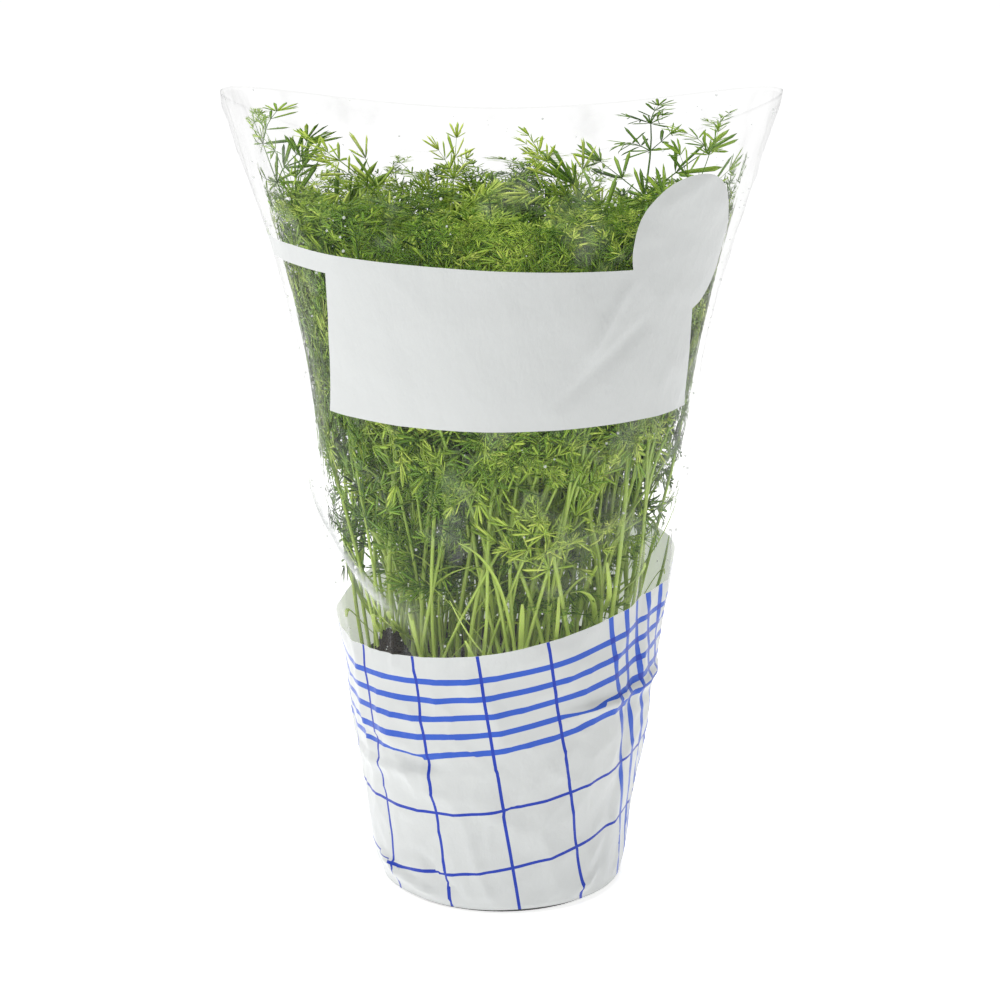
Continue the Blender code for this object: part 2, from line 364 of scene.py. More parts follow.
tree, given = new_tree(
    "scatter_crumbs",
    ("Crumbs", "Collection", None),
    ("Density", "Float", 1000.0),
    ("Smallest", "Float", 0.001),
    ("Largest", "Float", 0.003),
    ("Least Upward", "Float", 0.4),
    ("Patchiness", "Float", 0.0),
    ("Sunk", "Float", 0.0),
    ("Seed", "Int", 0),
    ("Material", "Material", None),
)
normal = node(tree, "GeometryNodeInputNormal").outputs[0]
upward = node(tree, "ShaderNodeSeparateXYZ", {0: normal}).outputs["Z"]
patch = node(tree, "ShaderNodeTexNoise", {"Scale": 32.0, "Detail": 2.0}).outputs["Fac"]
patch = node(tree, "ShaderNodeMapRange", {"Value": patch, "From Min": 0.42, "From Max": 0.72}).outputs[0]
bare = calc(tree, "MULTIPLY", calc(tree, "SUBTRACT", 1.0, patch), given["Patchiness"])
spots = node(
    tree,
    "GeometryNodeDistributePointsOnFaces",
    {
        "Mesh": given["Geometry"],
        "Selection": calc(tree, "GREATER_THAN", upward, given["Least Upward"]),
        "Density": calc(tree, "MULTIPLY", given["Density"], calc(tree, "SUBTRACT", 1.0, bare)),
        "Seed": given["Seed"],
    },
)
inward = node(
    tree,
    "ShaderNodeVectorMath",
    {0: spots.outputs["Normal"], "Scale": calc(tree, "MULTIPLY", given["Sunk"], -1.0)},
    operation="SCALE",
)
inputs = {"Geometry": spots.outputs["Points"], "Offset": inward.outputs[0]}
sunk = node(tree, "GeometryNodeSetPosition", inputs)
size = node(
    tree,
    "ShaderNodeMapRange",
    {
        "Value": calc(tree, "POWER", random_value(tree, 0.0, 1.0, 3), 2.2),
        "To Min": given["Smallest"],
        "To Max": given["Largest"],
    },
)
scattered = instances(
    tree,
    sunk.outputs[0],
    picked_from(tree, given["Crumbs"]),
    random_value(tree, (0, 0, 0), (math.tau, math.tau, math.tau), 7, "FLOAT_VECTOR"),
    size.outputs[0],
    Pick_Instance=True,
    Instance_Index=random_value(tree, 0, 3, 5, "INT"),
)
end_tree(tree, scattered, given["Material"])
scatter_crumbs = tree

for name, finish, density, smallest, largest, seed in (
    ("peat_crumbs", peat_finish, 130000, 0.0008, 0.0046, 2),
    ("perlite_grains", perlite_finish, 4200, 0.0008, 0.0024, 9),
):
    mesh = grown(
        in_scene(name, peat_mesh),
        scatter_crumbs,
        name,
        Crumbs=crumbs,
        Density=float(density),
        Smallest=smallest,
        Largest=largest,
        Seed=seed,
        Material=finish,
    )
    as_piece(name, mesh)


# ---------------------------------------------------------------------------------------------
# Dill stems. Round, smooth, pale green and one to two millimetres thick at the peat. Each one
# divides near its top into thinner stalks, and each stalk carries a frond. Long narrow seed
# leaves hang from the lower part of the outer ones.
# ---------------------------------------------------------------------------------------------

SLEEVE_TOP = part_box("sleeve")[1][2]
FRONT_TOP = SLEEVE_TOP - 0.015
PLANTS = 148
STEM_ROOT = 0.0765
STEM_THICK = 0.00082
STEM_THIN = 0.00072
STALK_THICK = 0.00058
HEAD_LOW = 0.172
HEAD_HIGH = 0.216
CROWN_FILL = 90
SHADE_FILL = 72
chance = random.Random(20)

# The turn from one plant to the next that spreads them evenly, in radians.
GOLDEN_TURN = 2.39996


# The film's plain cone, and how its mouth is drawn out into an oval above a slight belly.
CONE_FOOT = 0.0475
CONE_FLARE = 0.147
MOUTH_FROM = 0.235
MOUTH_CURVE = 1.4
MOUTH_SPREAD = 0.0102
BELLY_AT = 0.205
BELLY_REACH = 0.045
BELLY_SPREAD = 0.0020


def step(t):
    """Rises smoothly from 0 to 1 as t does, and stays level outside that."""
    t = min(max(t, 0.0), 1.0)
    return t * t * (3 - 2 * t)


def sleeve_half_sizes(z):
    """Half width and half depth of the film at a height."""
    radius = CONE_FOOT + CONE_FLARE * z
    mouth = max(0.0, (z - MOUTH_FROM) / (SLEEVE_TOP - MOUTH_FROM)) ** MOUTH_CURVE
    belly = 1 - step(abs(z - BELLY_AT) / BELLY_REACH)
    spread = MOUTH_SPREAD * mouth - BELLY_SPREAD * belly
    return radius + spread, radius - spread


def in_sleeve(share, angle, z):
    """The point at this share of the way out to the film. Angle 0 is the front."""
    half_width, half_depth = sleeve_half_sizes(z)
    return Vector((share * half_width * math.sin(angle), -share * half_depth * math.cos(angle), z))


def curve_point(start, leave, arrive, end, t):
    """A point on a Bezier curve."""
    s = 1 - t
    return s**3 * start + 3 * s * s * t * leave + 3 * s * t * t * arrive + t**3 * end


class Stem:
    """One stem: where it grows, how it leans and sways, and how thick it is."""

    def __init__(self, number):
        self.foot_share = 0.90 * math.sqrt((number + 0.5) / PLANTS)
        self.angle = number * GOLDEN_TURN + chance.uniform(-0.15, 0.15)
        self.head = chance.uniform(HEAD_LOW, HEAD_HIGH)
        spread = self.foot_share * chance.uniform(0.70, 1.20) + chance.uniform(-0.08, 0.12)
        self.head_share = min(0.91, max(0.04, spread))
        self.drift = chance.gauss(0, 0.56) * (1.2 - self.foot_share * 0.5)
        self.phase = chance.uniform(0, math.tau)
        self.sway = chance.uniform(0.0014, 0.0058)
        self.thick = chance.uniform(0.60, 1.12)

    def at(self, t):
        """The stem's middle at a share of its height."""
        z = STEM_ROOT + (self.head - STEM_ROOT) * t
        share = self.foot_share + (self.head_share - self.foot_share) * t**1.2
        point = in_sleeve(share, self.angle + self.drift * t, z)
        point.x += self.sway * (math.sin(self.phase + 4.2 * t) - math.sin(self.phase))
        point.y += self.sway * (math.cos(self.phase * 1.7 + 3.6 * t) - math.cos(self.phase * 1.7))
        return point

    def direction(self, t):
        """Which way the stem points at a share of its height."""
        return (self.at(min(1.0, t + 0.02)) - self.at(t - 0.02)).normalized()


def aim_of(heading, lift):
    """The direction that points this way round, at this many degrees above level."""
    level = math.cos(math.radians(lift))
    return Vector((math.sin(heading) * level, -math.cos(heading) * level, math.sin(math.radians(lift))))


def stalk(start, along, aim, reach, thick):
    """A stalk that leaves along the stem and arrives along its frond's aim: its points and its end."""
    end = start + (along * 0.6 + aim * 0.55) * reach
    points = []
    for i in range(7):
        u = i / 6
        point = curve_point(start, start + along * reach * 0.45, end - aim * reach * 0.40, end, u)
        points.append((point, thick * (1.15 - 0.45 * u)))
    return points, end


stems = [Stem(i) for i in range(PLANTS)]
lines = []
straps = []
fronds = []
for stem in stems:
    taper = STEM_THIN - STEM_THICK
    lines.append([(stem.at(i / 11), stem.thick * (STEM_THICK + taper * i / 11)) for i in range(12)])
    outward = math.atan2(stem.at(1).x, -stem.at(1).y)
    count = chance.choice((2, 2, 3, 3))
    for k in range(count):
        t = 1.0 - 0.30 * k / count - chance.uniform(0, 0.05)
        heading = outward + chance.gauss(0, 0.9) + (k % 2) * 0.8
        aim = aim_of(heading, chance.uniform(34, 80) - 10 * k)
        reach = chance.uniform(0.014, 0.042)
        points, end = stalk(stem.at(t), stem.direction(t), aim, reach, STALK_THICK)
        lines.append(points)
        fronds.append((end, aim, chance.uniform(0, math.tau), chance.uniform(0.76, 1.08) * (1 - 0.05 * k)))
    if stem.foot_share > 0.42:
        for k in range(chance.choice((0, 0, 1, 1))):
            t = chance.uniform(0.26, 0.72)
            heading = outward + chance.choice((-1, 1)) * chance.uniform(0.3, 1.5)
            aim = aim_of(heading, chance.uniform(15, 72))
            reach = chance.uniform(0.018, 0.050)
            points, end = stalk(stem.at(t), stem.direction(t), aim, reach, STALK_THICK * 0.85)
            lines.append(points)
            fronds.append((end, aim, chance.uniform(0, math.tau), chance.uniform(0.56, 0.92)))
        if chance.random() < 0.55:
            t = chance.uniform(0.14, 0.40)
            start = stem.at(t)
            heading = outward + chance.gauss(0, 1.1)
            length = chance.uniform(0.028, 0.056)
            wide = chance.uniform(0.0007, 0.0012)
            rise = aim_of(heading, chance.uniform(35, 75))
            fall = aim_of(heading, chance.uniform(-25, 40))
            arch = (start, start + rise * length * 0.4, start + rise * length * 0.75)
            tip = start + rise * length * 0.7 + fall * length * 0.5
            strap = []
            for i in range(9):
                u = i / 8
                across = wide * max(0.12, math.sin(math.pi * (0.12 + 0.80 * u)) ** 0.6)
                strap.append((curve_point(*arch, tip, u), across))
            straps.append(strap)

# More fronds on long stalks close the crown over the stems.
for number in range(CROWN_FILL):
    share = 0.88 * math.sqrt((number + 0.5) / CROWN_FILL)
    around = number * GOLDEN_TURN + chance.uniform(-0.3, 0.3)
    end = in_sleeve(share, around, chance.uniform(0.190, 0.232))
    aim = aim_of(around + chance.gauss(0, 1.3), chance.uniform(12, 62))
    root = in_sleeve(share * 0.8, around, 0.150)
    leave = root + Vector((0, 0, 0.03))
    arrive = end - aim * 0.02
    lines.append([(curve_point(root, leave, arrive, end, i / 6), STALK_THICK * 0.9) for i in range(7)])
    fronds.append((end, aim, chance.uniform(0, math.tau), chance.uniform(0.70, 1.00)))

# Shorter fronds inside the clump, in the shade between the stems.
for number in range(SHADE_FILL):
    share = 0.62 * math.sqrt((number + 0.5) / SHADE_FILL)
    around = number * GOLDEN_TURN + chance.uniform(-0.3, 0.3)
    place = in_sleeve(share, around, chance.uniform(0.112, 0.165))
    aim = aim_of(around + chance.gauss(0, 1.3), chance.uniform(20, 75))
    fronds.append((place, aim, chance.uniform(0, math.tau), chance.uniform(0.50, 0.75)))

# Sprigs that stand above the rest: where each one starts, its heading and lift in degrees, its
# roll and its size.
sprigs = []
for x, y, z, heading, lift, roll, size in (
    (0.034, -0.034, 0.238, 100, 72, 0.2, 1.18),
    (0.038, -0.040, 0.250, 88, 36, 1.2, 1.02),
    (0.016, -0.012, 0.228, 60, 62, 2.0, 1.05),
    (-0.058, -0.006, 0.246, -100, 62, 0.4, 1.12),
    (-0.050, -0.016, 0.236, -60, 68, 1.1, 1.08),
    (-0.032, 0.000, 0.232, 30, 80, 2.3, 1.02),
    (-0.018, 0.010, 0.226, 20, 76, 0.1, 0.95),
    (0.044, 0.006, 0.228, 100, 64, 0.9, 0.90),
):
    top = Vector((x, y, z))
    aim = aim_of(math.radians(heading), lift)
    root = Vector((x * 0.55, y * 0.6, 0.150))
    leave = root + Vector((0, 0, 0.03))
    arrive = top - aim * 0.03
    lines.append([(curve_point(root, leave, arrive, top, i / 8), STALK_THICK) for i in range(9)])
    sprigs.append((top, aim, roll, size))


def held_in(points, start=0.84, limit=0.972):
    """Presses points that stray too far out back against the inside of the film."""
    z = np.clip(points[:, 2], 0.0, SLEEVE_TOP)
    radius = CONE_FOOT + CONE_FLARE * z
    mouth = np.clip((z - MOUTH_FROM) / (SLEEVE_TOP - MOUTH_FROM), 0, None) ** MOUTH_CURVE
    t = np.clip(np.abs(z - BELLY_AT) / BELLY_REACH, 0, 1)
    spread = MOUTH_SPREAD * mouth - BELLY_SPREAD * (1 - t * t * (3 - 2 * t))
    rise = np.clip((z - 0.150) / 0.060, 0, 1)
    outward = 1 + 0.10 * rise * rise * (3 - 2 * rise)
    share = np.hypot(points[:, 0] / (radius + spread), points[:, 1] / (radius - spread))
    room = limit - start
    spread_out = share * outward
    squeezed = start + room * (1 - np.exp(-(spread_out - start) / room))
    pressed = np.where(spread_out > start, squeezed, spread_out)
    factor = pressed / np.maximum(share, 1e-6)
    held = points.copy()
    held[:, 0] *= factor
    held[:, 1] *= factor
    return held


def hold_mesh_in(mesh, crown, top):
    """The same for a whole mesh, and tips that stand too tall are bent down a little."""
    points = np.empty(len(mesh.vertices) * 3, dtype=np.float32)
    mesh.vertices.foreach_get("co", points)
    points = points.reshape(-1, 3).astype(np.float64)
    z = points[:, 2]
    room = top - crown
    points[:, 2] = np.where(z > crown, crown + room * (1 - np.exp(-(z - crown) / room)), z)
    points = held_in(points)
    mesh.vertices.foreach_set("co", points.astype(np.float32).ravel())
    mesh.update()


def curves_object(name, lines):
    """Thin POLY splines with a thickness at each point."""
    data = bpy.data.curves.new(name, "CURVE")
    data.dimensions = "3D"
    for line in lines:
        held = held_in(np.array([tuple(point) for point, _ in line]))
        spline = data.splines.new("POLY")
        spline.points.add(len(line) - 1)
        for target, place, (_, thick) in zip(spline.points, held, line):
            target.co = (*place, 1)
            target.radius = thick
    return in_scene(name, data)


def tube_along(tree, line, ring):
    """A closed tube: the ring drawn along the line, as wide as the line's radius at each point."""
    radius = node(tree, "GeometryNodeInputRadius").outputs[0]
    inputs = {"Curve": line, "Profile Curve": ring, "Scale": radius, "Fill Caps": True}
    return node(tree, "GeometryNodeCurveToMesh", inputs).outputs[0]


tree, given = new_tree(
    "round_stems",
    ("Sides", "Int", 7),
    ("Flatness", "Float", 1.0),
    ("Material", "Material", None),
)
outline = {"Resolution": given["Sides"], "Radius": 1.0}
ring = node(tree, "GeometryNodeCurvePrimitiveCircle", outline, mode="RADIUS")
shape = node(tree, "ShaderNodeCombineXYZ", {"X": 1.0, "Y": given["Flatness"], "Z": 1.0})
flat = node(tree, "GeometryNodeTransform", {"Geometry": ring.outputs[0], "Scale": shape.outputs[0]})
end_tree(tree, tube_along(tree, given["Geometry"], flat.outputs[0]), given["Material"])
round_stems = tree

stem_finish, tree, shader = finish_of(
    "fresh_stem", Roughness=0.38, Specular_IOR_Level=0.5, Subsurface_Weight=0.15, Subsurface_Scale=0.002
)
shader.inputs["Subsurface Radius"].default_value = (0.6, 1.0, 0.2)
place = node(tree, "ShaderNodeTexCoord").outputs["Object"]
height = node(tree, "ShaderNodeSeparateXYZ", {0: place}).outputs["Z"]
climb = node(tree, "ShaderNodeMapRange", {"Value": height, "From Min": 0.085, "From Max": 0.24}).outputs[0]
mottle = surface_noise(tree, 120, 3, 0.6, (1, 1, 0.15))
tone = calc(tree, "ADD", climb, calc(tree, "MULTIPLY_ADD", mottle, 0.5, -0.25))
stem_tones = ((0.0, (0.500, 0.640, 0.120)), (0.45, (0.400, 0.560, 0.080)), (1.0, (0.190, 0.370, 0.030)))
tree.links.new(colour_ramp(tree, tone, *stem_tones), shader.inputs["Base Color"])
bumped(tree, shader, surface_noise(tree, 1600, 2, 0.5, (1, 1, 0.06)), 0.00010)

mesh = grown(curves_object("dill_stems", lines), round_stems, "dill_stems", Sides=7, Material=stem_finish)
dill_stems = as_piece("dill_stems", mesh)
straps_object = curves_object("seed_leaves", straps)
mesh = grown(straps_object, round_stems, "seed_leaves", Sides=8, Flatness=0.22, Material=stem_finish)
seed_leaves = as_piece("seed_leaves", mesh)
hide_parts(*[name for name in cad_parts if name.startswith("stem_")])


# ---------------------------------------------------------------------------------------------
# Dill fronds. Each is a thin stalk with pairs of feathers on it, and each feather a finer stalk
# with pairs of forked leaflets, thin and nearly parallel, six to fourteen millimetres long.
# ---------------------------------------------------------------------------------------------

LEAFLET_WIDTH = 0.112
FEATHERS = 5
FROND_KINDS = 6
CROWN_PARTS = 12
CROWN_BENDS = 0.250
CROWN_TOP = 0.280


def leaflet_mesh():
    """A narrow leaflet of length 1 along +Z, flat across Y, with nearly parallel sides."""
    shape = bmesh.new()
    half = LEAFLET_WIDTH / 2
    root = shape.verts.new((0, 0, 0))
    tip = shape.verts.new((0, 0.06, 1))
    rings = []
    for z, wide, lean in ((0.24, 0.78, 0.0), (0.78, 1.0, 0.03)):
        places = ((half * wide, lean, z), (-half * wide, lean, z), (0, lean - half * 0.6, z))
        rings.append([shape.verts.new(place) for place in places])
    for i in range(3):
        j = (i + 1) % 3
        shape.faces.new((root, rings[0][j], rings[0][i]))
        shape.faces.new((rings[0][i], rings[0][j], rings[1][j], rings[1][i]))
        shape.faces.new((rings[1][i], rings[1][j], tip))
    bmesh.ops.recalc_face_normals(shape, faces=shape.faces)
    return mesh_of("leaflet", shape)


leaflet = bpy.data.objects.new("leaflet", leaflet_mesh())


def stalk_line(tree, given, points):
    """A line of the given Length along +Z that bends towards +Y, with its places counted from 0 to 1."""
    line = node(tree, "GeometryNodeCurvePrimitiveLine", mode="POINTS")
    end = node(tree, "ShaderNodeCombineXYZ", {"Z": given["Length"]})
    tree.links.new(end.outputs[0], line.inputs["End"])
    cut = node(tree, "GeometryNodeResampleCurve", {"Curve": line.outputs[0], "Count": points}, mode="COUNT")
    along = node(tree, "GeometryNodeSplineParameter").outputs["Factor"]
    lean = calc(tree, "MULTIPLY", calc(tree, "MULTIPLY", along, along), given["Bend"])
    drop = calc(tree, "MULTIPLY", calc(tree, "ABSOLUTE", lean), -0.5)
    offset = node(tree, "ShaderNodeCombineXYZ", {"Y": lean, "Z": drop})
    inputs = {"Geometry": cut.outputs[0], "Offset": offset.outputs[0]}
    return node(tree, "GeometryNodeSetPosition", inputs).outputs[0]


def stalk_tube(tree, line, thickness):
    """A three-sided tube on the line that thins out towards its end."""
    along = node(tree, "GeometryNodeSplineParameter").outputs["Factor"]
    radius = calc(tree, "MULTIPLY", thickness, calc(tree, "MULTIPLY_ADD", along, -0.6, 1.0))
    thin = node(tree, "GeometryNodeSetCurveRadius", {"Curve": line, "Radius": radius})
    ring = node(tree, "GeometryNodeCurvePrimitiveCircle", {"Resolution": 3, "Radius": 1.0}, mode="RADIUS")
    return tube_along(tree, thin.outputs[0], ring.outputs[0])


def places_on(tree, line, count):
    """Evenly spaced points on a line: the points, their rotations, and their places from 0 to 1."""
    made = node(tree, "GeometryNodeCurveToPoints", {"Curve": line, "Count": count}, mode="COUNT")
    index = node(tree, "GeometryNodeInputIndex").outputs[0]
    place = calc(tree, "DIVIDE", index, calc(tree, "SUBTRACT", count, 1.0))
    return made.outputs["Points"], made.outputs["Rotation"], place


def turned_by(tree, base, x, y, z):
    """The base rotation turned in its own frame by three angles."""
    euler = node(tree, "ShaderNodeCombineXYZ", {"X": x, "Y": y, "Z": z})
    turn = node(tree, "FunctionNodeEulerToRotation", {0: euler.outputs[0]})
    inputs = {"Rotation": base, "Rotate By": turn.outputs[0]}
    return node(tree, "FunctionNodeRotateRotation", inputs, rotation_space="LOCAL").outputs[0]


def drawn(tree, given, low, high, number, kind="FLOAT"):
    """A random value that goes with the tree's own Seed input and this number."""
    return random_value(tree, low, high, calc(tree, "ADD", given["Seed"], number), kind)


def toned(tree, given, geometry, name, number):
    """The geometry with a random tone, from 0 to 1, stored for each of its instances."""
    inputs = {"Geometry": geometry, "Name": name, "Value": drawn(tree, given, 0.0, 1.0, number)}
    made = node(tree, "GeometryNodeStoreNamedAttribute", inputs, data_type="FLOAT", domain="INSTANCE")
    return made.outputs[0]


# A feather: forked leaflets in pairs along a fine stalk, and three at its end.
tree, given = new_tree(
    "feather",
    ("Length", "Float", 0.020),
    ("Bend", "Float", 0.003),
    ("Pairs", "Int", 4),
    ("Leaflet", "Object", None),
    ("Leaflet Length", "Float", 0.0095),
    ("Seed", "Int", 0),
    ("Material", "Material", None),
)
line = stalk_line(tree, given, 5)
joined = node(tree, "GeometryNodeJoinGeometry")
tree.links.new(stalk_tube(tree, line, 0.00034), joined.inputs[0])
points, along, place = places_on(tree, line, given["Pairs"])
inputs = {"Object": given["Leaflet"], "As Instance": True}
blade = node(tree, "GeometryNodeObjectInfo", inputs).outputs["Geometry"]
shrink = calc(tree, "MULTIPLY_ADD", calc(tree, "MULTIPLY", place, place), -0.30, 1.0)
number = 0
for side in (-1, 1):
    for spread, share in ((0.95, 0.78), (0.50, 1.0)):
        number += 1
        wobble = drawn(tree, given, -0.22, 0.22, number * 11)
        out = calc(tree, "MULTIPLY_ADD", wobble, 1.0, side * spread)
        tilt = drawn(tree, given, -0.45, 0.35, number * 11 + 1)
        roll = drawn(tree, given, -0.9, 0.9, number * 11 + 2)
        long = drawn(tree, given, 0.72, 1.18, number * 11 + 3)
        scale = calc(tree, "MULTIPLY", calc(tree, "MULTIPLY", long, shrink), given["Leaflet Length"])
        turn = turned_by(tree, along, tilt, out, roll)
        leaves = instances(tree, points, blade, turn, calc(tree, "MULTIPLY", scale, share))
        tree.links.new(leaves, joined.inputs[0])
last = calc(tree, "GREATER_THAN", place, 0.99)
for k, spread in enumerate((-0.30, 0.02, 0.28)):
    tip_roll = drawn(tree, given, -0.8, 0.8, 90 + k)
    turn = turned_by(tree, along, 0.1 * k - 0.1, spread, tip_roll)
    scale = calc(tree, "MULTIPLY", given["Leaflet Length"], 0.95 - 0.1 * abs(spread))
    tree.links.new(instances(tree, points, blade, turn, scale, Selection=last), joined.inputs[0])
end_tree(tree, toned(tree, given, joined.outputs[0], "leaflet_tone", 60), given["Material"])
feather_tree = tree

# A frond: feathers in pairs along its stalk, longest low down, and one at its end.
tree, given = new_tree(
    "frond",
    ("Length", "Float", 0.070),
    ("Bend", "Float", 0.015),
    ("Pairs", "Int", 6),
    ("Feathers", "Collection", None),
    ("Seed", "Int", 0),
    ("Material", "Material", None),
)
line = stalk_line(tree, given, 8)
joined = node(tree, "GeometryNodeJoinGeometry")
tree.links.new(stalk_tube(tree, line, 0.00052), joined.inputs[0])
points, along, place = places_on(tree, line, given["Pairs"])
pick = picked_from(tree, given["Feathers"])
shrink = calc(tree, "MULTIPLY_ADD", calc(tree, "POWER", place, 1.2), -0.55, 1.12)
for side in (-1, 1):
    first = 7 if side > 0 else 31
    wobble = drawn(tree, given, -0.20, 0.20, first)
    open_by = calc(tree, "MULTIPLY_ADD", place, -0.35, 0.98)
    out = calc(tree, "ADD", calc(tree, "MULTIPLY", open_by, float(side)), wobble)
    tilt = drawn(tree, given, -0.40, 0.30, first + 1)
    roll = drawn(tree, given, -0.7, 0.7, first + 2)
    long = drawn(tree, given, 0.82, 1.15, first + 3)
    kind = drawn(tree, given, 0, FEATHERS - 1, first + 4, "INT")
    turn = turned_by(tree, along, tilt, out, roll)
    scale = calc(tree, "MULTIPLY", long, shrink)
    leaves = instances(tree, points, pick, turn, scale, Pick_Instance=True, Instance_Index=kind)
    tree.links.new(leaves, joined.inputs[0])
last = calc(tree, "GREATER_THAN", place, 0.99)
turn = turned_by(tree, along, 0.0, 0.05, 0.3)
end_feather = instances(tree, points, pick, turn, 0.72, Selection=last, Pick_Instance=True, Instance_Index=1)
tree.links.new(end_feather, joined.inputs[0])
end_tree(tree, joined.outputs[0], given["Material"])
frond_tree = tree

leaf_finish, tree, shader = finish_of("fresh_leaf", Roughness=0.50, Specular_IOR_Level=0.22)
tone = node(tree, "ShaderNodeAttribute", attribute_name="tone").outputs["Fac"]
patch = surface_noise(tree, 45, 2)
leaflet_tone = node(tree, "ShaderNodeAttribute", attribute_name="leaflet_tone").outputs["Fac"]
shade = calc(tree, "ADD", calc(tree, "MULTIPLY", tone, 0.55), calc(tree, "MULTIPLY_ADD", patch, 0.9, -0.34))
shade = calc(tree, "ADD", shade, calc(tree, "MULTIPLY", leaflet_tone, 0.36))
leaf_tones = (
    (0.10, (0.030, 0.092, 0.006)),
    (0.46, (0.165, 0.325, 0.022)),
    (0.80, (0.440, 0.620, 0.070)),
    (1.0, (0.680, 0.820, 0.150)),
)
tree.links.new(colour_ramp(tree, shade, *leaf_tones), shader.inputs["Base Color"])
bumped(tree, shader, surface_noise(tree, 2500, 2), 0.00008)


def put_on(kinds, name, tree, **values):
    """Grows a shape from a tree's inputs alone, and puts it on the shelf."""
    mesh = grown(in_scene(name, bpy.data.meshes.new(name)), tree, name, **values)
    kinds.objects.link(bpy.data.objects.new(name, mesh))


feathers = shelf("feathers")
for i in range(FEATHERS):
    put_on(
        feathers,
        f"feather_{i}",
        feather_tree,
        Length=0.0175 + 0.0020 * i,
        Bend=(0.002, -0.003, 0.005, 0.001, -0.004)[i],
        Pairs=(3, 3, 4, 3, 4)[i],
        Leaflet=leaflet,
        Leaflet_Length=0.0124 + 0.0007 * i,
        Seed=100 * i,
        Material=leaf_finish,
    )

frond_kinds = shelf("frond_kinds")
for i in range(FROND_KINDS):
    put_on(
        frond_kinds,
        f"frond_kind_{i}",
        frond_tree,
        Length=0.056 + 0.005 * i,
        Bend=(0.010, 0.020, -0.014, 0.030, 0.005, -0.026)[i],
        Pairs=(4, 5, 5, 5, 5, 6)[i],
        Feathers=feathers,
        Seed=1000 + 77 * i,
        Material=leaf_finish,
    )

# The crown: a frond at the end of each stalk, aimed where the stalk points.
tree, given = new_tree(
    "crown",
    ("Fronds", "Collection", None),
    ("Seed", "Int", 0),
    ("Material", "Material", None),
)
aim, roll, size = (
    node(tree, "GeometryNodeInputNamedAttribute", {"Name": name}, data_type=kind).outputs[0]
    for name, kind in (("aim", "FLOAT_VECTOR"), ("roll", "FLOAT"), ("size", "FLOAT"))
)
aimed = node(tree, "FunctionNodeAlignRotationToVector", {"Vector": aim}, axis="Z").outputs[0]
placed = instances(
    tree,
    node(tree, "GeometryNodeMeshToPoints", {"Mesh": given["Geometry"]}).outputs[0],
    picked_from(tree, given["Fronds"]),
    turned_by(tree, aimed, 0.0, 0.0, roll),
    size,
    Pick_Instance=True,
    Instance_Index=drawn(tree, given, 0, FROND_KINDS - 1, 4, "INT"),
)
end_tree(tree, toned(tree, given, placed, "tone", 8), given["Material"])
crown_tree = tree


def frond_points(name, placements):
    """A mesh of loose points that say where each frond starts, where it aims, its roll and its size."""
    places, aims, rolls, sizes = zip(*placements)
    mesh = bpy.data.meshes.new(name)
    mesh.from_pydata([tuple(p) for p in held_in(np.array([tuple(place) for place in places]))], [], [])
    aims = np.array([tuple(aim) for aim in aims], dtype=np.float32)
    point_values(mesh, "aim", aims.ravel(), "FLOAT_VECTOR", "vector")
    point_values(mesh, "roll", rolls)
    point_values(mesh, "size", sizes)
    return in_scene(name, mesh)


fronds.sort(key=lambda placed: math.atan2(placed[0].x, -placed[0].y))
frond_nodes = sorted(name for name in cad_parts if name.startswith("frond_"))
side_nodes = sorted(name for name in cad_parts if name.startswith("side_frond_"))
bunches = [(sprigs, 0.286, 0.308)]
for part in range(CROWN_PARTS):
    share = fronds[part * len(fronds) // CROWN_PARTS : (part + 1) * len(fronds) // CROWN_PARTS]
    bunches.append((share, CROWN_BENDS, CROWN_TOP))
for part, (share, bends, top) in enumerate(bunches):
    name = f"dill_fronds_{part}" if part else "tall_sprigs"
    mesh = grown(
        frond_points(name, share),
        crown_tree,
        name,
        Fronds=frond_kinds,
        Seed=31 * part,
        Material=leaf_finish,
    )
    hold_mesh_in(mesh, bends, top)
    piece = as_piece(name, mesh)
    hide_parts(*(frond_nodes[part - 1 :: CROWN_PARTS] if part else side_nodes))


# ---------------------------------------------------------------------------------------------
# Sleeve. One tapered tube of thin clear film, welded along both sides and open at both ends. The
# inks are on its outside: opaque white with a blue check at the foot, a bare white label with a
# band that runs from it to the side weld, and a bare round badge above the label's right end.
# ---------------------------------------------------------------------------------------------

FILM = 0.00012
SLEEVE_COLUMNS = 280
SLEEVE_ROWS = 172
SLEEVE_FOOT = 0.0013
CHECK_TURN = 1.0
CHECK_LIFT = 0.218
# How far a fold must stand out before it gets a painted highlight on its crest, and how much more it must
# stand out for the full highlight, in millimetres.
PAINTED_GLINT_FROM = 1.2
PAINTED_GLINT_FULL = 1.3
LABEL_LOW = 197.6
LABEL_HIGH = 255.3
